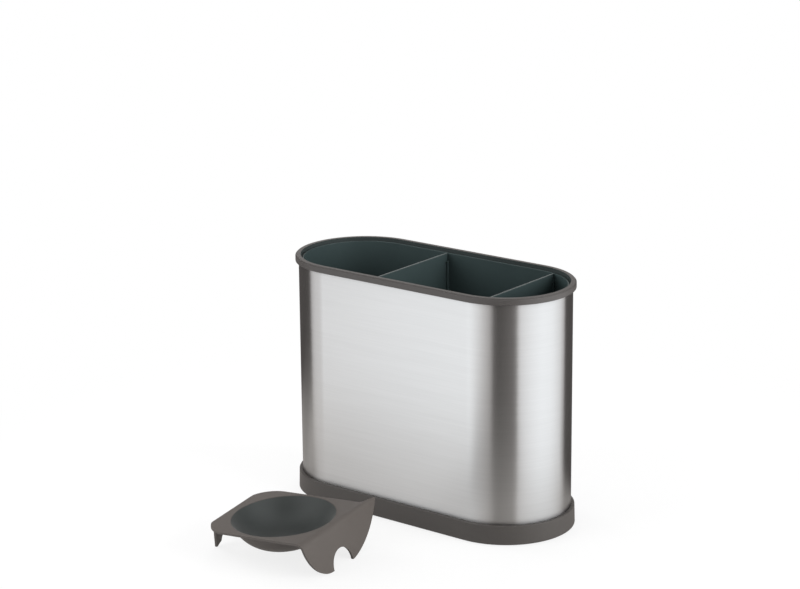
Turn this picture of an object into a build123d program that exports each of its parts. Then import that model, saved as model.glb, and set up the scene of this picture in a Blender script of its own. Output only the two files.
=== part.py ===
# Utensil crock: an oblong brushed steel sleeve held between a plastic base and a plastic rim,
# with a lift-out bucket, two slide-in dividers and a spoon rest that stands in front of it.
# Millimetres. The origin is the crock's centre on the table, +X along its long side, +Z up.

import os
from math import atan, cos, degrees, pi, radians, sin, tan

from build123d import *

os.makedirs("parts", exist_ok=True)

# Sleeve, an oblong tube with round ends. Offsets of the other pieces count outwards from it
end_radius = 48.0  # outer radius of the two round ends
end_spacing = 130.0  # from the centre of one round end to the centre of the other
crock_height = 182.8  # table to the top of the rim
sheet_wall = 0.8
fit_clearance = 0.15  # each side of the sleeve, in the base's channel and round the rim's leg

# Non-slip mat under the base
mat_thickness = 1.6
mat_proud = 0.8  # how far it stands out below the base
mat_inset = 7.0
mat_clearance = 0.2
mat_groove_pitch = 16.0
mat_groove_width = 2.0
mat_groove_depth = 0.5

# Base
base_height = 14.3
base_outset_top = 2.5
base_outset_foot = 2.9
base_floor = 3.0
base_upstand_wall = 2.0
base_edge_radius = 0.8
base_foot_radius = 0.5
channel_depth = 9.0

# Rim: a bead over the sleeve's edge, and a leg that plugs into the sleeve
rim_overhang = 2.4
rim_width = 4.0
rim_face_height = 4.8
rim_shoulder_width = 0.55
rim_shoulder_height = 0.6
rim_edge_radius = 0.5
rim_ledge_drop = 3.4  # from the rim's top down to the top of its leg
rim_leg_height = 14.0
rim_leg_wall = 1.5

# Bucket, standing on the base's floor
bucket_gap = 0.3  # to the rim's leg
bucket_drop = 2.6  # from the rim's top down to the bucket's edge
bucket_wall = 1.2
bucket_floor = 1.6
bucket_draft = 0.9  # how much the wall comes in from its top to its foot
bucket_foot_radius = 3.0
bucket_edge_radius = 0.35

# Dividers and their guide ribs
divider_thickness = 1.2
left_divider_inset = 93.0  # from the sleeve's left end
right_divider_inset = 36.0  # from the sleeve's right end
divider_side_clearance = 0.3
divider_edge_radius = 0.4
rib_width = 1.2
rib_depth = 1.6
rib_drop = 6.0  # from the bucket's edge down to the top of the ribs
slot_clearance = 0.2  # each side of the divider
rib_root = 0.55  # how far the ribs reach into the bucket's wall

# Spoon rest: its place on the table, and its own frame with X across and Y towards the crock
rest_centre_x = -24.6
rest_centre_y = -143.5
rest_turn = 7.7  # degrees about +Z
rest_sheet = 1.6
rest_height = 27.6  # table to the plate's top at the dish's centre
rest_side_slope = 2.9  # degrees, rising to the right
rest_back_slope = 3.4  # degrees, rising to the back
rest_front_margin = 2.9  # from the dish's rim to the front edge
rest_back_margin = 1.9  # from the dish's rim to the plate's back edge
foot_margin = 12.0  # how far the foot of either wing stands outside the dish's rim

# Right wing, as deep as the plate, with its fold softer at the front than at the back
right_fold_margin_front = 3.2  # from the dish's rim to the fold, at the front edge
right_fold_margin_back = 6.2
right_fold_radius_front = 6.0
right_fold_radius_back = 2.1
right_wing_front_radius = 26.0
right_wing_back_radius = 55.0
right_foot_back = 14.2  # dish centre to the back end of the wing's foot
right_arch_radius = 12.4
right_arch_centre = 0.1
horn_reach = 13.8  # how far the wing passes the plate's back edge
horn_width = 3.5
horn_radius = 3.0

# Left wing, lower and narrower, between two rounded corners of the plate
left_fold_margin = 6.9  # from the dish's rim to the fold
left_fold_radius = 2.5
left_corner_radius = 20.5
left_foot_front = 14.6  # dish centre to the front end of the wing's foot
left_foot_back = 13.0
left_foot_tip = 1.0  # length of each foot on the table
left_foot_rise = 3.3  # table to where the foot has its full length
left_shoulder_height = 13.5  # where the wing starts to narrow towards its foot
left_arch_radius = 9.5
left_arch_rise = 5.0  # table to the centre of the arch's round top

# Dish of the spoon rest
dish_radius = 37.4
dish_depth = 19.5
dish_wall_angle = 55.0  # degrees, from the plate
dish_blend_radius = 28.0
dish_lip_radius = 1.0

overrun = 5.0  # how far cutting shapes reach past what they cut

# Levels and offsets that follow from the sizes above
left_divider_x = left_divider_inset - end_radius - end_spacing / 2
right_divider_x = end_spacing / 2 + end_radius - right_divider_inset
base_bottom = mat_proud
base_top = base_bottom + base_height
sleeve_bottom = base_top - channel_depth
rim_bottom = crock_height - rim_face_height
leg_offset = -sheet_wall - fit_clearance
leg_inside = leg_offset - rim_leg_wall
upstand_inside = leg_offset - base_upstand_wall
bucket_bottom = base_bottom + base_floor
bucket_top = crock_height - bucket_drop
bucket_height = bucket_top - bucket_bottom
bucket_offset_top = leg_inside - bucket_gap
bucket_offset_foot = bucket_offset_top - bucket_draft
bucket_taper = -degrees(atan(bucket_draft / bucket_height))
cavity_floor = bucket_bottom + bucket_floor

# Distances from the dish's centre, in the spoon rest's own frame
rest_front_reach = dish_radius + rest_front_margin
rest_back_reach = dish_radius + rest_back_margin
right_wing_back_reach = rest_back_reach + horn_reach
right_fold_front = dish_radius + right_fold_margin_front
right_fold_back = dish_radius + right_fold_margin_back
left_fold_half = dish_radius + left_fold_margin
foot_half = dish_radius + foot_margin


def oblong(offset, mode=Mode.ADD):
    """The sleeve's outline, moved outwards by the offset."""
    return SlotCenterToCenter(end_spacing, 2 * (end_radius + offset), mode=mode)


def bucket_offset(height):
    """The bucket's drafted outside, as an offset, at a height above the table."""
    return bucket_offset_foot + bucket_draft * (height - bucket_bottom) / bucket_height


def divider(place):
    """One divider: the bucket's drafted inside less its clearance, cut to a thin plate."""
    with BuildPart() as plate:
        with BuildSketch(Plane.XY.offset(cavity_floor)):
            oblong(bucket_offset(cavity_floor) - bucket_wall - divider_side_clearance)
        extrude(amount=bucket_top - cavity_floor, taper=bucket_taper)
        with BuildSketch(Plane.XY.offset(cavity_floor)):
            with Locations((place, 0)):
                Rectangle(divider_thickness, 2 * end_radius)
        extrude(amount=bucket_top - cavity_floor, mode=Mode.INTERSECT)
        top_edges = plate.edges().group_by(Axis.Z)[-1].filter_by(Axis.Y)
        fillet(top_edges, radius=divider_edge_radius)
    return plate


with BuildPart() as steel_shell:
    with BuildSketch(Plane.XY.offset(sleeve_bottom)):
        oblong(0)
        oblong(-sheet_wall, Mode.SUBTRACT)
    extrude(amount=rim_bottom - sleeve_bottom)

with BuildPart() as base:
    with BuildSketch(Plane.XY.offset(base_bottom)):
        oblong(base_outset_foot)
    foot_taper = degrees(atan((base_outset_foot - base_outset_top) / base_height))
    extrude(amount=base_height, taper=foot_taper)
    fillet(base.edges().group_by(Axis.Z)[-1], radius=base_edge_radius)
    fillet(base.edges().group_by(Axis.Z)[0], radius=base_foot_radius)
    with BuildSketch(Plane.XY.offset(bucket_bottom)):
        oblong(upstand_inside)
    extrude(amount=base_height, mode=Mode.SUBTRACT)
    with BuildSketch(Plane.XY.offset(sleeve_bottom)):
        oblong(fit_clearance)
        oblong(leg_offset, Mode.SUBTRACT)
    extrude(amount=channel_depth + overrun, mode=Mode.SUBTRACT)
    with BuildSketch(Plane.XY.offset(base_bottom)):
        oblong(mat_clearance - mat_inset)
    extrude(amount=mat_thickness - mat_proud, mode=Mode.SUBTRACT)

with BuildPart() as non_slip_mat:
    with BuildSketch():
        oblong(-mat_inset)
    extrude(amount=mat_thickness)
    mat_length = end_spacing + 2 * (end_radius - mat_inset)
    groove_count = int(mat_length / mat_groove_pitch / 2)
    with BuildSketch():
        for step in range(groove_count):
            place = (step + 0.5) * mat_groove_pitch
            with Locations((place, 0), (-place, 0)):
                Rectangle(mat_groove_width, 2 * end_radius)
    extrude(amount=mat_groove_depth, mode=Mode.SUBTRACT)

with BuildPart() as top_rim:
    with BuildSketch(Plane.XY.offset(rim_bottom)):
        oblong(rim_overhang)
    extrude(amount=rim_face_height - rim_shoulder_height)
    fillet(top_rim.edges().group_by(Axis.Z)[-1], radius=rim_edge_radius)
    fillet(top_rim.edges().group_by(Axis.Z)[0], radius=rim_edge_radius)
    with BuildSketch(Plane.XY.offset(rim_bottom + rim_edge_radius)):
        oblong(rim_overhang - rim_shoulder_width)
    extrude(amount=rim_face_height - rim_edge_radius)
    fillet(top_rim.edges().group_by(Axis.Z)[-1], radius=rim_edge_radius)
    leg_top = crock_height - rim_ledge_drop
    with BuildSketch(Plane.XY.offset(leg_top - rim_leg_height)):
        oblong(leg_offset)
    extrude(amount=rim_leg_height)
    with BuildSketch(Plane.XY.offset(leg_top - rim_leg_height)):
        oblong(leg_inside)
    extrude(amount=rim_leg_height, mode=Mode.SUBTRACT)
    with BuildSketch(Plane.XY.offset(leg_top)):
        oblong(rim_overhang - rim_width)
    extrude(amount=rim_ledge_drop + overrun, mode=Mode.SUBTRACT)

with BuildPart() as inner_bucket:
    with BuildSketch(Plane.XY.offset(bucket_bottom)):
        oblong(bucket_offset(bucket_bottom))
    extrude(amount=bucket_height, taper=bucket_taper)
    fillet(inner_bucket.edges().group_by(Axis.Z)[0], radius=bucket_foot_radius)
    with BuildSketch(Plane.XY.offset(cavity_floor)):
        oblong(bucket_offset(cavity_floor) - bucket_wall)
    extrude(amount=bucket_height, taper=bucket_taper, mode=Mode.SUBTRACT)
    fillet(inner_bucket.edges().group_by(Axis.Z)[-1], radius=bucket_edge_radius)
    rib_shift = divider_thickness / 2 + slot_clearance + rib_width / 2
    for divider_x in (left_divider_x, right_divider_x):
        beyond_end = max(0, abs(divider_x) - end_spacing / 2)
        inside_radius = end_radius + bucket_offset_foot - bucket_wall
        inside_half = (inside_radius**2 - beyond_end**2) ** 0.5
        with BuildSketch(Plane.XY.offset(cavity_floor)):
            with Locations((divider_x - rib_shift, 0), (divider_x + rib_shift, 0)):
                Rectangle(rib_width, 2 * end_radius)
            with Locations((divider_x, 0)):
                Rectangle(4 * rib_shift, 2 * (inside_half - rib_depth), mode=Mode.SUBTRACT)
            oblong(bucket_offset_foot - bucket_wall + rib_root, Mode.INTERSECT)
        extrude(amount=bucket_top - rib_drop - cavity_floor)

left_divider = divider(left_divider_x)
right_divider = divider(right_divider_x)

# The spoon rest's frame, and the slope of its plate as rise per millimetre across and back
rest_frame = Plane(
    origin=(rest_centre_x, rest_centre_y, 0),
    x_dir=(cos(radians(rest_turn)), sin(radians(rest_turn)), 0),
    z_dir=(0, 0, 1),
)
side_rise = tan(radians(rest_side_slope))
back_rise = tan(radians(rest_back_slope))


def rest_point(across, back, height):
    """A point of the spoon rest's own frame, on the table's axes."""
    return rest_frame.from_local_coords((across, back, height))


def along_right_fold(front_value, back_value, back):
    """A value that changes evenly from the plate's front edge to the right wing's back edge."""
    share = (back + rest_front_reach) / (right_wing_back_reach + rest_front_reach)
    return front_value + (back_value - front_value) * share


def bridge_section(back):
    """The sheet's section across the rest: a wing, the plate and the other wing."""
    plane = Plane(origin=rest_point(0, back, 0), x_dir=rest_frame.x_dir, z_dir=-rest_frame.y_dir)
    right_fold_half = along_right_fold(right_fold_front, right_fold_back, back)
    left_height = rest_height + back_rise * back - side_rise * left_fold_half
    right_height = rest_height + back_rise * back + side_rise * right_fold_half
    left_lean = (foot_half - left_fold_half) / left_height
    right_lean = (foot_half - right_fold_half) / right_height
    right_radius = along_right_fold(right_fold_radius_front, right_fold_radius_back, back)
    with BuildSketch(plane) as section:
        with BuildLine():
            FilletPolyline(
                (-foot_half - left_lean * overrun, -overrun),
                (-left_fold_half, left_height),
                (right_fold_half, right_height),
                (foot_half + right_lean * overrun, -overrun),
                radius=[left_fold_radius, right_radius],
            )
            offset(amount=rest_sheet, side=Side.RIGHT)
        make_face()
    return section.sketch


across_plane = Plane(origin=rest_point(0, 0, 0), x_dir=rest_frame.y_dir, z_dir=rest_frame.x_dir)
plate_normal = Vector(-side_rise, -back_rise, 1).normalized()
dish_origin = rest_point(0, 0, rest_height)
dish_direction = rest_point(*plate_normal) - rest_point(0, 0, 0)
dish_side = rest_frame.y_dir.cross(dish_direction).normalized()
dish_plane = Plane(origin=dish_origin, x_dir=dish_side, z_dir=dish_side.cross(dish_direction))
dish_axis = Axis(dish_origin, dish_direction)


def dish_profile(wall, top):
    """Half the dish's section, moved outwards by a wall, closed at a height above the plate."""
    wall_slope = tan(radians(dish_wall_angle))
    floor_level = -dish_depth - wall
    rim_x = dish_radius + wall / sin(radians(dish_wall_angle))
    corner_x = rim_x + floor_level / wall_slope
    top_x = rim_x + top / wall_slope
    with BuildSketch(dish_plane) as section:
        with BuildLine():
            FilletPolyline(
                (0, floor_level), (corner_x, floor_level), (top_x, top), radius=dish_blend_radius + wall
            )
            Polyline((top_x, top), (0, top), (0, floor_level))
        make_face()
    return section.sketch


side_reach = foot_half + overrun
above_plate = rest_height + dish_depth
horn_height = rest_height + back_rise * right_wing_back_reach + side_rise * right_fold_back
left_wing_front = rest_front_reach - left_corner_radius
left_wing_back = rest_back_reach - left_corner_radius
with BuildPart() as spoon_rest:
    # Sections are set a little beyond the finished edges, which the outlines below then cut
    front_section = bridge_section(-rest_front_reach - overrun)
    back_section = bridge_section(right_wing_back_reach + overrun)
    loft([front_section, back_section], ruled=True)
    # The right wing's outline from the side, and with it the plate's front edge
    with BuildSketch(across_plane):
        front_foot = (right_wing_front_radius - rest_front_reach, 0)
        back_foot = (right_foot_back, 0)
        front_arc_top = (-rest_front_reach, right_wing_front_radius)
        back_arc_top = (right_wing_back_reach, horn_height)
        with BuildLine():
            RadiusArc(front_foot, front_arc_top, right_wing_front_radius)
            Line(front_foot, back_foot)
            RadiusArc(back_arc_top, back_foot, right_wing_back_radius)
            Polyline(
                back_arc_top,
                (right_wing_back_reach, above_plate),
                (-rest_front_reach, above_plate),
                front_arc_top,
            )
        make_face()
    extrude(amount=side_reach, both=True, mode=Mode.INTERSECT)
    with BuildSketch(across_plane):
        with Locations((right_arch_centre, 0)):
            Circle(right_arch_radius)
    extrude(amount=side_reach, mode=Mode.SUBTRACT)
    # The left wing's arch, and what is cut away before and behind its narrower foot
    with BuildSketch(across_plane):
        with Locations((0, left_arch_rise)):
            Circle(left_arch_radius)
        with BuildLine():
            Polyline(
                (left_foot_tip - left_foot_front, -overrun),
                (left_foot_tip - left_foot_front, 0),
                (-left_arch_radius, left_foot_rise),
                (-left_arch_radius, left_arch_rise),
                (left_arch_radius, left_arch_rise),
                (left_arch_radius, left_foot_rise),
                (left_foot_back - left_foot_tip, 0),
                (left_foot_back - left_foot_tip, -overrun),
                close=True,
            )
        make_face()
        for foot, shoulder, outside in (
            (-left_foot_front, -left_wing_front, -rest_front_reach),
            (left_foot_back, left_wing_back, right_wing_back_reach),
        ):
            with BuildLine():
                Polyline(
                    (foot, -overrun),
                    (foot, 0),
                    (shoulder, left_shoulder_height),
                    (outside, left_shoulder_height),
                    (outside, -overrun),
                    close=True,
                )
            make_face()
    extrude(amount=-side_reach, mode=Mode.SUBTRACT)
    # The outline from above: the right wing's horn, two rounded left corners and the left wing
    with BuildSketch(rest_frame.offset(-overrun)):
        horn_side = right_fold_back - horn_width
        with BuildLine():
            Polyline(
                (-left_fold_half, -rest_front_reach),
                (side_reach, -rest_front_reach),
                (side_reach, right_wing_back_reach),
                (right_fold_back, right_wing_back_reach),
                (horn_side, rest_back_reach),
                (-left_fold_half, rest_back_reach),
                close=True,
            )
        make_face()
        fillet(vertices().group_by(Axis.X)[1], radius=horn_radius)
        fillet(vertices().group_by(Axis.X)[0], radius=left_corner_radius)
        with Locations((-side_reach, -left_wing_front)):
            Rectangle(side_reach, left_wing_front + left_wing_back, align=Align.MIN)
    extrude(amount=above_plate + overrun, mode=Mode.INTERSECT)
    revolve(dish_profile(rest_sheet, -rest_sheet / 2), axis=dish_axis)
    revolve(dish_profile(0, overrun), axis=dish_axis, mode=Mode.SUBTRACT)
    dish_rim = spoon_rest.edges().sort_by(lambda edge: abs(edge.length - 2 * pi * dish_radius))[0]
    fillet(dish_rim, radius=dish_lip_radius)

steel_shell.part.label = "steel_shell"
export_step(steel_shell.part, "parts/steel_shell.step")
top_rim.part.label = "top_rim"
export_step(top_rim.part, "parts/top_rim.step")
base.part.label = "base"
export_step(base.part, "parts/base.step")
non_slip_mat.part.label = "non_slip_mat"
export_step(non_slip_mat.part, "parts/non_slip_mat.step")
inner_bucket.part.label = "inner_bucket"
export_step(inner_bucket.part, "parts/inner_bucket.step")
left_divider.part.label = "left_divider"
export_step(left_divider.part, "parts/left_divider.step")
right_divider.part.label = "right_divider"
export_step(right_divider.part, "parts/right_divider.step")
spoon_rest.part.label = "spoon_rest"
export_step(spoon_rest.part, "parts/spoon_rest.step")
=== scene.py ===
# Looks for the oblong crock and its spoon rest: finishes, studio and camera.
# Metres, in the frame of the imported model: +X along the crock, +Z up, table at zero.

import math

import bpy
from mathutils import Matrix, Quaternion, Vector


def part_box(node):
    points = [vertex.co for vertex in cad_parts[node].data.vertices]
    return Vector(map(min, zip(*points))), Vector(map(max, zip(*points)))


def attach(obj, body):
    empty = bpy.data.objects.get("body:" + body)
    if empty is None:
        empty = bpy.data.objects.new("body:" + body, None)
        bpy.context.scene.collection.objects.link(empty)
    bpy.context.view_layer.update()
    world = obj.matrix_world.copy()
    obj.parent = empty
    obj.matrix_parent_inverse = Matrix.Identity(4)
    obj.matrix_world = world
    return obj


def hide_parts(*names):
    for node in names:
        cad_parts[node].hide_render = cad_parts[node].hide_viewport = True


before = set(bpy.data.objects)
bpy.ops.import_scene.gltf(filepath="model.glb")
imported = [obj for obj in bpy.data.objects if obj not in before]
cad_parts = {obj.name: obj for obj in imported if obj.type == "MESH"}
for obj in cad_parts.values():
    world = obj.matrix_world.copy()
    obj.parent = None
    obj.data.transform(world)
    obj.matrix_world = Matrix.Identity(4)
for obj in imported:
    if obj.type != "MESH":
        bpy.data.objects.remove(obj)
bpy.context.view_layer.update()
print("frame loaded")


def wayOut(azimuth, elevation):
    azimuth = math.radians(azimuth)
    elevation = math.radians(elevation)
    flat = math.cos(elevation)
    return Vector((math.sin(azimuth) * flat, -math.cos(azimuth) * flat, math.sin(elevation)))


# Camera

cameraSettings = {
    "target": (-0.03059, 0.0, 0.15605),
    "distance": 1.77243,
    "azimuth": 38.0,  # degrees to the right of straight ahead
    "elevation": 15.75,
    "roll": 0.54,
    "lens": 108.11,
    "sensor": 36.0,
}


def makeCamera(settings):
    way = wayOut(settings["azimuth"], settings["elevation"])
    data = bpy.data.cameras.new("camera")
    data.lens = settings["lens"]
    data.sensor_width = settings["sensor"]
    camera = bpy.data.objects.new("camera", data)
    camera.location = Vector(settings["target"]) + way * settings["distance"]
    camera.rotation_mode = "QUATERNION"
    roll = Quaternion((0, 0, 1), -math.radians(settings["roll"]))
    camera.rotation_quaternion = (-way).to_track_quat("-Z", "Y") @ roll
    bpy.context.scene.collection.objects.link(camera)
    bpy.context.scene.camera = camera


makeCamera(cameraSettings)
bpy.context.scene.view_settings.view_transform = "Standard"
print("camera placed")

# Node helpers

colourA, colourB, colourOut = 6, 7, 2  # the Mix node's colour sockets


def newMaterial(name):
    material = bpy.data.materials.new(name)
    material.use_nodes = True
    tree = material.node_tree
    tree.nodes.clear()
    output = tree.nodes.new("ShaderNodeOutputMaterial")
    return material, tree, output


def addNode(tree, kind, inputs=None, **choices):
    node = tree.nodes.new(kind)
    for key, value in choices.items():
        setattr(node, key, value)
    for key, value in (inputs or {}).items():
        if isinstance(value, bpy.types.NodeSocket):
            tree.links.new(value, node.inputs[key])
        else:
            node.inputs[key].default_value = value
    return node


def doMath(tree, operation, *values):
    node = addNode(tree, "ShaderNodeMath", dict(enumerate(values)), operation=operation)
    return node.outputs[0]


def doVector(tree, operation, *values):
    node = addNode(tree, "ShaderNodeVectorMath", dict(enumerate(values)), operation=operation)
    return node.outputs["Value" if operation == "LENGTH" else "Vector"]


def splitUp(tree, vector):
    return addNode(tree, "ShaderNodeSeparateXYZ", {0: vector}).outputs


def objectPoints(tree, scale=(1.0, 1.0, 1.0)):
    place = addNode(tree, "ShaderNodeTexCoord").outputs["Object"]
    return addNode(tree, "ShaderNodeMapping", {"Vector": place, "Scale": scale}).outputs["Vector"]


def noise(tree, points, scale, detail):
    node = addNode(tree, "ShaderNodeTexNoise", {
        "Vector": points, "Scale": scale, "Detail": detail})
    return node.outputs["Fac"]


def shifted(tree, signal, given=(0.0, 1.0), wanted=(0.0, 1.0), kind="LINEAR"):
    node = addNode(tree, "ShaderNodeMapRange", {
        "Value": signal, "From Min": given[0], "From Max": given[1],
        "To Min": wanted[0], "To Max": wanted[1]}, interpolation_type=kind)
    return node.outputs["Result"]


def varied(tree, signal, middle, share):
    return shifted(tree, signal, wanted=(middle * (1.0 - share), middle * (1.0 + share)))


def mixColours(tree, share, first, second, blend="MIX"):
    node = addNode(tree, "ShaderNodeMix", {
        "Factor": share, colourA: first, colourB: second}, data_type="RGBA", blend_type=blend)
    return node.outputs[colourOut]


def tinted(tree, colour, shade):
    return mixColours(tree, 1.0, (*colour, 1.0), shade, "MULTIPLY")


def mixShaders(tree, share, first, second):
    return addNode(tree, "ShaderNodeMixShader", {0: share, 1: first, 2: second}).outputs[0]


# Brushed steel, its lines running round the sleeve

steelSettings = {
    "colour": (0.63, 0.635, 0.64),
    "roughness": 0.29,
    "roughnessShift": 0.1,  # a share, up and down, as the shades below are
    "anisotropy": 1.0,
    "anisotropyTurn": 0.25,
    "fineLines": (25.0, 25.0, 5200.0),  # lines to the metre, across and up
    "longLines": (6.0, 6.0, 1500.0),
    "broadLines": (16.0, 16.0, 330.0),
    "lineDetail": 2.0,
    "lineShade": 0.066,
    "broadShade": 0.032,
    "lineLean": 0.024,  # how far the lines throw a reflection sideways
    "lineDepth": 0.000004,
    "bumpStrength": 0.25,
}


def makeSteel(settings):
    material, tree, output = newMaterial("brushedSteel")
    fine, long, broad = [
        noise(tree, objectPoints(tree, settings[lines]), 1.0, settings["lineDetail"])
        for lines in ("fineLines", "longLines", "broadLines")]
    both = doMath(tree, "ADD", fine, long)
    half = doMath(tree, "MULTIPLY", both, 0.5)
    shade = varied(tree, half, 1.0, settings["lineShade"])
    uneven = varied(tree, broad, 1.0, settings["broadShade"])
    worn = doMath(tree, "MULTIPLY", shade, uneven)
    rough = varied(tree, half, settings["roughness"], settings["roughnessShift"])

    # Each line leans a little to one side, which frays the edges of what the steel reflects
    tangent = addNode(tree, "ShaderNodeTangent", direction_type="RADIAL", axis="Z").outputs[0]
    lean = shifted(tree, half, wanted=(-settings["lineLean"], settings["lineLean"]))
    aside = addNode(tree, "ShaderNodeVectorMath", {0: tangent, "Scale": lean}, operation="SCALE")
    normal = addNode(tree, "ShaderNodeNewGeometry").outputs["Normal"]
    leaning = doVector(tree, "ADD", normal, aside.outputs[0])
    bump = addNode(tree, "ShaderNodeBump", {
        "Height": fine, "Strength": settings["bumpStrength"], "Distance": settings["lineDepth"],
        "Normal": doVector(tree, "NORMALIZE", leaning)})
    metal = addNode(tree, "ShaderNodeBsdfPrincipled", {
        "Base Color": tinted(tree, settings["colour"], worn), "Roughness": rough,
        "Normal": bump.outputs["Normal"], "Tangent": tangent, "Metallic": 1.0,
        "Anisotropic": settings["anisotropy"],
        "Anisotropic Rotation": settings["anisotropyTurn"]})
    tree.links.new(metal.outputs[0], output.inputs["Surface"])
    return material


# Moulded plastics and the rubber mat

plasticSettings = {
    "rimPlastic": {
        "colour": (0.078, 0.072, 0.069), "roughness": 0.42, "grain": 2200.0, "depth": 0.00002,
        # The rim's inner wall is as dark as the bucket
        "innerToneAndPaintedShade": (0.04, 0.05, 0.05), "centre": (0.0, 0.0), "halfSpacing": 0.065,
        "insideRadius": 0.0466,
    },
    "basePlastic": {
        "colour": (0.066, 0.06, 0.056), "roughness": 0.5, "grain": 2200.0, "depth": 0.00002,
    },
    "restPlastic": {
        "colour": (0.099, 0.087, 0.079), "roughness": 0.5, "grain": 2200.0, "depth": 0.00002,
        # Painted shade: the dish is darker than the plate round it, standing in for the shadow of
        # a spoon lying in it
        "innerToneAndPaintedShade": (0.038, 0.043, 0.042), "centre": (-0.0246, -0.1435), "halfSpacing": 0.0,
        "insideRadius": 0.0373,
    },
    "bucketPlastic": {
        "colour": (0.046, 0.067, 0.068), "roughness": 0.34, "grain": 1800.0, "depth": 0.00002,
    },
    "dividerPlastic": {
        "colour": (0.046, 0.067, 0.068), "roughness": 0.34, "grain": 1800.0, "depth": 0.00002,
        # Painted highlight: the top edges are coloured paler, from the first height to the second,
        # where they catch the light
        "paintedHighlightColour": (0.11, 0.125, 0.125), "highlightHeights": (0.1796, 0.18),
    },
    "matRubber": {
        "colour": (0.02, 0.02, 0.021), "roughness": 0.8, "grain": 900.0, "depth": 0.00005,
    },
}

# Alike in all of them
mouldedSettings = {
    "grainDetail": 2.0,
    "grainStrength": 0.3,
    "cloudScale": 28.0,  # soft clouds in the colour and the roughness
    "cloudDetail": 3.0,
    "cloudShade": 0.1,
    "cloudRoughness": 0.15,
    "insideBlur": 0.0002,
    "lowestFacing": -0.05,
}


def insideShare(tree, settings, moulded):
    place = addNode(tree, "ShaderNodeTexCoord").outputs["Object"]
    parts = splitUp(tree, doVector(tree, "SUBTRACT", place, (*settings["centre"], 0.0)))
    away = doMath(tree, "ABSOLUTE", parts["X"])
    past = doMath(tree, "SUBTRACT", away, settings["halfSpacing"])
    beyond = doMath(tree, "MAXIMUM", past, 0.0)
    flat = addNode(tree, "ShaderNodeCombineXYZ", {"X": beyond, "Y": parts["Y"]}).outputs[0]
    edge = settings["insideRadius"]
    blur = moulded["insideBlur"]
    reach = doVector(tree, "LENGTH", flat)
    within = shifted(tree, reach, given=(edge - blur, edge + blur), wanted=(1.0, 0.0))
    # The undersides keep the outer colour
    normal = splitUp(tree, addNode(tree, "ShaderNodeNewGeometry").outputs["Normal"])
    facingUp = doMath(tree, "GREATER_THAN", normal["Z"], moulded["lowestFacing"])
    return doMath(tree, "MULTIPLY", within, facingUp)


def makePlastic(name, settings, moulded):
    material, tree, output = newMaterial(name)
    points = objectPoints(tree)
    grain = noise(tree, points, settings["grain"], moulded["grainDetail"])
    cloud = noise(tree, points, moulded["cloudScale"], moulded["cloudDetail"])
    shade = varied(tree, cloud, 1.0, moulded["cloudShade"])
    colour = tinted(tree, settings["colour"], shade)
    # The rim's inner wall takes its darker tone here, and the dish takes painted shade
    if "innerToneAndPaintedShade" in settings:
        inside = tinted(tree, settings["innerToneAndPaintedShade"], shade)
        colour = mixColours(tree, insideShare(tree, settings, moulded), colour, inside)
    # Painted highlight along the top edges of the dividers
    if "paintedHighlightColour" in settings:
        highlightShare = shifted(tree, splitUp(tree, points)["Z"], given=settings["highlightHeights"])
        colour = mixColours(tree, highlightShare, colour, tinted(tree, settings["paintedHighlightColour"], shade))
    rough = varied(tree, cloud, settings["roughness"], moulded["cloudRoughness"])
    bump = addNode(tree, "ShaderNodeBump", {
        "Height": grain, "Strength": moulded["grainStrength"], "Distance": settings["depth"]})
    body = addNode(tree, "ShaderNodeBsdfPrincipled", {
        "Base Color": colour, "Roughness": rough, "Normal": bump.outputs["Normal"]})
    tree.links.new(body.outputs[0], output.inputs["Surface"])
    return material


def dress(node, material):
    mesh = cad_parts[node].data
    mesh.materials.clear()
    mesh.materials.append(material)


finishes = {
    "top_rim": "rimPlastic",
    "base": "basePlastic",
    "spoon_rest": "restPlastic",
    "inner_bucket": "bucketPlastic",
    "left_divider": "dividerPlastic",
    "right_divider": "dividerPlastic",
    "non_slip_mat": "matRubber",
}

steel = makeSteel(steelSettings)
plastics = {
    name: makePlastic(name, settings, mouldedSettings)
    for name, settings in plasticSettings.items()}
for node, finish in finishes.items():
    dress(node, plastics[finish])
# The photograph's steel shows nothing of the spoon rest in front of it
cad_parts["spoon_rest"].visible_glossy = False
print("finishes made")

# Sleeve: one oblong run of steel sheet, as long, deep and high as its place in the frame

sleeveSettings = {
    "wall": 0.0008,
    "edgeBreak": 0.00012,  # the cut edges are rubbed down
    "edgeSteps": 2,
    "arcSteps": 40,  # for each quarter turn
}

sleeveInputs = {
    "Length": "NodeSocketFloat",
    "Depth": "NodeSocketFloat",
    "Height": "NodeSocketFloat",
    "Foot": "NodeSocketFloat",
    "Wall": "NodeSocketFloat",
    "Edge Break": "NodeSocketFloat",
    "Edge Steps": "NodeSocketInt",
    "Arc Steps": "NodeSocketInt",
    "Finish": "NodeSocketMaterial",
}


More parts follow.
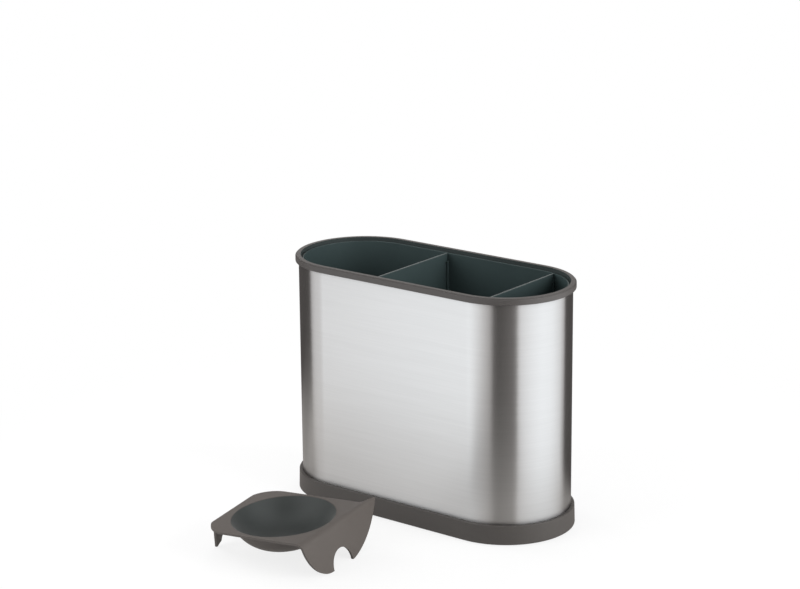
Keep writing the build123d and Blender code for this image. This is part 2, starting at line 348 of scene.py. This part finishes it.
def makeSleeveTree(inputs):
    tree = bpy.data.node_groups.new("sleeveTree", "GeometryNodeTree")
    identifiers = {}
    for name, kind in inputs.items():
        socket = tree.interface.new_socket(name=name, in_out="INPUT", socket_type=kind)
        identifiers[name] = socket.identifier
    tree.interface.new_socket(
        name="Geometry", in_out="OUTPUT", socket_type="NodeSocketGeometry")
    given = addNode(tree, "NodeGroupInput").outputs

    # The path runs along the middle of the sheet
    midLength = doMath(tree, "SUBTRACT", given["Length"], given["Wall"])
    midDepth = doMath(tree, "SUBTRACT", given["Depth"], given["Wall"])
    box = addNode(tree, "GeometryNodeCurvePrimitiveQuadrilateral", {
        "Width": midLength, "Height": midDepth})
    path = addNode(tree, "GeometryNodeFilletCurve", {
        "Curve": box.outputs[0], "Radius": doMath(tree, "MULTIPLY", midDepth, 0.5),
        "Limit Radius": True, "Count": given["Arc Steps"]}, mode="POLY")

    # The sheet's section stands upright, with its edges broken
    section = addNode(tree, "GeometryNodeCurvePrimitiveQuadrilateral", {
        "Width": given["Wall"], "Height": given["Height"]})
    broken = addNode(tree, "GeometryNodeFilletCurve", {
        "Curve": section.outputs[0], "Radius": given["Edge Break"],
        "Limit Radius": True, "Count": given["Edge Steps"]}, mode="POLY")
    sheet = addNode(tree, "GeometryNodeCurveToMesh", {
        "Curve": path.outputs[0], "Profile Curve": broken.outputs[0]})
    lift = doMath(tree, "ADD", given["Foot"], doMath(tree, "MULTIPLY", given["Height"], 0.5))
    up = addNode(tree, "ShaderNodeCombineXYZ", {"Z": lift})
    placed = addNode(tree, "GeometryNodeTransform", {
        "Geometry": sheet.outputs[0], "Translation": up.outputs[0]})
    smooth = addNode(tree, "GeometryNodeSetShadeSmooth", {
        "Geometry": placed.outputs[0], "Shade Smooth": True})
    real = addNode(tree, "GeometryNodeRealizeInstances", {"Geometry": smooth.outputs[0]})
    finished = addNode(tree, "GeometryNodeSetMaterial", {
        "Geometry": real.outputs[0], "Material": given["Finish"]})
    addNode(tree, "NodeGroupOutput", {"Geometry": finished.outputs[0]})
    return tree, identifiers


def plainPiece(name, tree, values):
    source = bpy.data.objects.new(name + "Source", bpy.data.meshes.new(name + "Source"))
    bpy.context.scene.collection.objects.link(source)
    modifier = source.modifiers.new("nodes", "NODES")
    modifier.node_group = tree
    for identifier, value in values.items():
        modifier[identifier] = value
    ready = source.evaluated_get(bpy.context.evaluated_depsgraph_get())
    mesh = bpy.data.meshes.new_from_object(ready)
    mesh.name = name
    bpy.data.objects.remove(source)
    piece = bpy.data.objects.new(name, mesh)
    bpy.context.scene.collection.objects.link(piece)
    return piece


def makeSleeve(settings):
    low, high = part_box("steel_shell")
    tree, identifiers = makeSleeveTree(sleeveInputs)
    values = {
        identifiers["Length"]: high.x - low.x,
        identifiers["Depth"]: high.y - low.y,
        identifiers["Height"]: high.z - low.z,
        identifiers["Foot"]: low.z,
        identifiers["Wall"]: settings["wall"],
        identifiers["Edge Break"]: settings["edgeBreak"],
        identifiers["Edge Steps"]: settings["edgeSteps"],
        identifiers["Arc Steps"]: settings["arcSteps"],
        identifiers["Finish"]: steel,
    }
    sleeve = plainPiece("brushedSleeve", tree, values)
    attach(sleeve, "crock")
    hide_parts("steel_shell")
    return sleeve


sleevePiece = makeSleeve(sleeveSettings)
print("sleeve made,", len(sleevePiece.data.polygons), "faces")

# Studio: white for the camera, softboxes and dark gaps for reflections, an even level for the rest

studioSettings = {
    "level": 0.4,
    # (azimuth in degrees, brightness): 0 is in front of the crock, 90 to its right
    "reflections": [
        (-180, 0.1), (-160, 0.1), (-150, 0.5), (-134, 0.8), (-128, 0.1), (-90, 0.1),
        (-76, 0.11), (-70, 0.15), (-66, 0.84), (-56, 0.94), (-45, 0.95), (-40, 1.15),
        (-37, 1.42), (-30, 1.4), (-10, 1.05), (0, 0.78), (8, 0.6), (11, 0.45),
        (15, 0.11), (24, 0.1), (38, 0.16), (50, 0.2), (54, 0.26), (58, 0.97),
        (66, 1.12), (80, 1.28), (100, 1.42), (122, 1.4), (143, 1.12), (150, 0.88),
        (153, 0.65), (156, 0.12), (180, 0.1),
    ],
    "darkTint": (1.0, 0.915, 0.865),
    "brightTint": (0.985, 1.0, 1.01),
}


def makeWorld(settings):
    world = bpy.data.worlds.new("studio")
    bpy.context.scene.world = world
    world.use_nodes = True
    tree = world.node_tree
    tree.nodes.clear()
    way = splitUp(tree, addNode(tree, "ShaderNodeTexCoord").outputs["Generated"])
    front = doMath(tree, "MULTIPLY", way["Y"], -1.0)
    turn = doMath(tree, "ARCTAN2", way["X"], front)
    share = shifted(tree, turn, given=(-math.pi, math.pi))
    ramp = addNode(tree, "ShaderNodeFloatCurve", {"Value": share})
    stops = settings["reflections"]
    top = max(brightness for azimuth, brightness in stops)
    curve = ramp.mapping.curves[0]
    while len(curve.points) < len(stops):
        curve.points.new(0.5, 0.5)
    for point, (azimuth, brightness) in zip(curve.points, stops):
        point.location = ((azimuth + 180) / 360, brightness / top)
        point.handle_type = "VECTOR"
    ramp.mapping.update()
    tint = mixColours(
        tree, ramp.outputs[0], (*settings["darkTint"], 1.0), (*settings["brightTint"], 1.0))
    mirrored = addNode(tree, "ShaderNodeBackground", {
        "Color": tint, "Strength": doMath(tree, "MULTIPLY", ramp.outputs[0], top)})
    even, white = [
        addNode(tree, "ShaderNodeBackground", {"Color": (1, 1, 1, 1), "Strength": strength})
        for strength in (settings["level"], 1.0)]
    rays = addNode(tree, "ShaderNodeLightPath").outputs
    bounced = mixShaders(tree, rays["Is Glossy Ray"], even.outputs[0], mirrored.outputs[0])
    seen = mixShaders(tree, rays["Is Camera Ray"], bounced, white.outputs[0])
    addNode(tree, "ShaderNodeOutputWorld", {"Surface": seen})
    world.cycles.sampling_method = "NONE"


lampAim = Vector((0.0, 0.0, 0.08))  # about halfway up the crock

lampSettings = {
    "keyLamp": {"azimuth": -30, "elevation": 26, "distance": 1.6, "size": 1.0, "power": 10.0},
    "sideLamp": {"azimuth": 95, "elevation": 17, "distance": 1.6, "size": 1.0, "power": 23},
    "leftLamp": {"azimuth": -90, "elevation": 20, "distance": 1.6, "size": 1.0, "power": 13},
    "topLamp": {"azimuth": 20, "elevation": 75, "distance": 1.5, "size": 1.3, "power": 1.2},
    "backLamp": {"azimuth": 205, "elevation": 24, "distance": 1.6, "size": 1.0, "power": 8},
}


def makeLamp(name, settings):
    way = wayOut(settings["azimuth"], settings["elevation"])
    data = bpy.data.lights.new(name, "AREA")
    data.shape = "SQUARE"
    data.size = settings["size"]
    data.energy = settings["power"]
    lamp = bpy.data.objects.new(name, data)
    lamp.location = way * settings["distance"] + lampAim
    lamp.rotation_mode = "QUATERNION"
    lamp.rotation_quaternion = (-way).to_track_quat("-Z", "Y")
    lamp.visible_glossy = False
    bpy.context.scene.collection.objects.link(lamp)


floorSettings = {
    "radius": 2.5,
    "colour": (0.56, 0.56, 0.56),
    "shownColour": (1.0, 1.0, 1.0),
    "shadowShare": 0.2,
    "shadowFade": (0.21, 0.42),  # from here it fades, and here it has gone
    "mirrorTint": (1.0, 0.95, 0.9),
    # What the steel sees of the table: grey cards, with soft edges. Each edge is given from where
    # the card begins to where it has its full share.
    "mirrorCards": [
        {
            "grey": 0.62, "share": 0.63, "left": (-0.34, -0.31), "right": (0.24, 0.15),
            "front": (-0.27, -0.14), "back": (0.12, 0.06),
        },
        {
            "grey": 0.22, "share": 0.7, "left": (-0.02, 0.04), "right": (0.26, 0.21),
            "front": (-0.34, -0.24), "back": (-0.06, -0.12),
        },
        {
            "grey": 1.15, "share": 0.3, "left": (-0.3, -0.24), "right": (-0.1, -0.19),
            "front": (-0.25, -0.15), "back": (-0.02, -0.07),
        },
    ],
}


def layCard(tree, place, below, card, tint):
    parts = splitUp(tree, place)
    share = card["share"]
    for axis, side in (("X", "left"), ("X", "right"), ("Y", "front"), ("Y", "back")):
        edge = shifted(tree, parts[axis], given=card[side], kind="SMOOTHSTEP")
        share = doMath(tree, "MULTIPLY", edge, share)
    grey = addNode(tree, "ShaderNodeEmission", {"Color": (*tint, 1.0), "Strength": card["grey"]})
    return mixShaders(tree, share, below, grey.outputs[0])


def makeFloor(settings):
    radius = settings["radius"]
    corners = [
        (-radius, -radius, 0), (radius, -radius, 0), (radius, radius, 0), (-radius, radius, 0)]
    mesh = bpy.data.meshes.new("floor")
    mesh.from_pydata(corners, [], [(0, 1, 2, 3)])
    floor = bpy.data.objects.new("floor", mesh)
    bpy.context.scene.collection.objects.link(floor)
    material, tree, output = newMaterial("paleFloor")
    place = addNode(tree, "ShaderNodeTexCoord").outputs["Object"]
    pale, shown = [
        addNode(tree, "ShaderNodeBsdfDiffuse", {"Color": (*settings[colour], 1.0)})
        for colour in ("colour", "shownColour")]
    fade = shifted(
        tree, doVector(tree, "LENGTH", place), given=settings["shadowFade"],
        wanted=(settings["shadowShare"], 0.0), kind="SMOOTHSTEP")
    white = addNode(tree, "ShaderNodeEmission")
    shadowed = mixShaders(tree, fade, white.outputs[0], shown.outputs[0])
    mirrored = addNode(tree, "ShaderNodeBsdfTransparent").outputs[0]
    for card in settings["mirrorCards"]:
        mirrored = layCard(tree, place, mirrored, card, settings["mirrorTint"])
    rays = addNode(tree, "ShaderNodeLightPath").outputs
    bounced = mixShaders(tree, rays["Is Glossy Ray"], pale.outputs[0], mirrored)
    seen = mixShaders(tree, rays["Is Camera Ray"], bounced, shadowed)
    tree.links.new(seen, output.inputs["Surface"])
    mesh.materials.append(material)


makeWorld(studioSettings)
for lampName, lampValues in lampSettings.items():
    makeLamp(lampName, lampValues)
makeFloor(floorSettings)
print("studio lit")
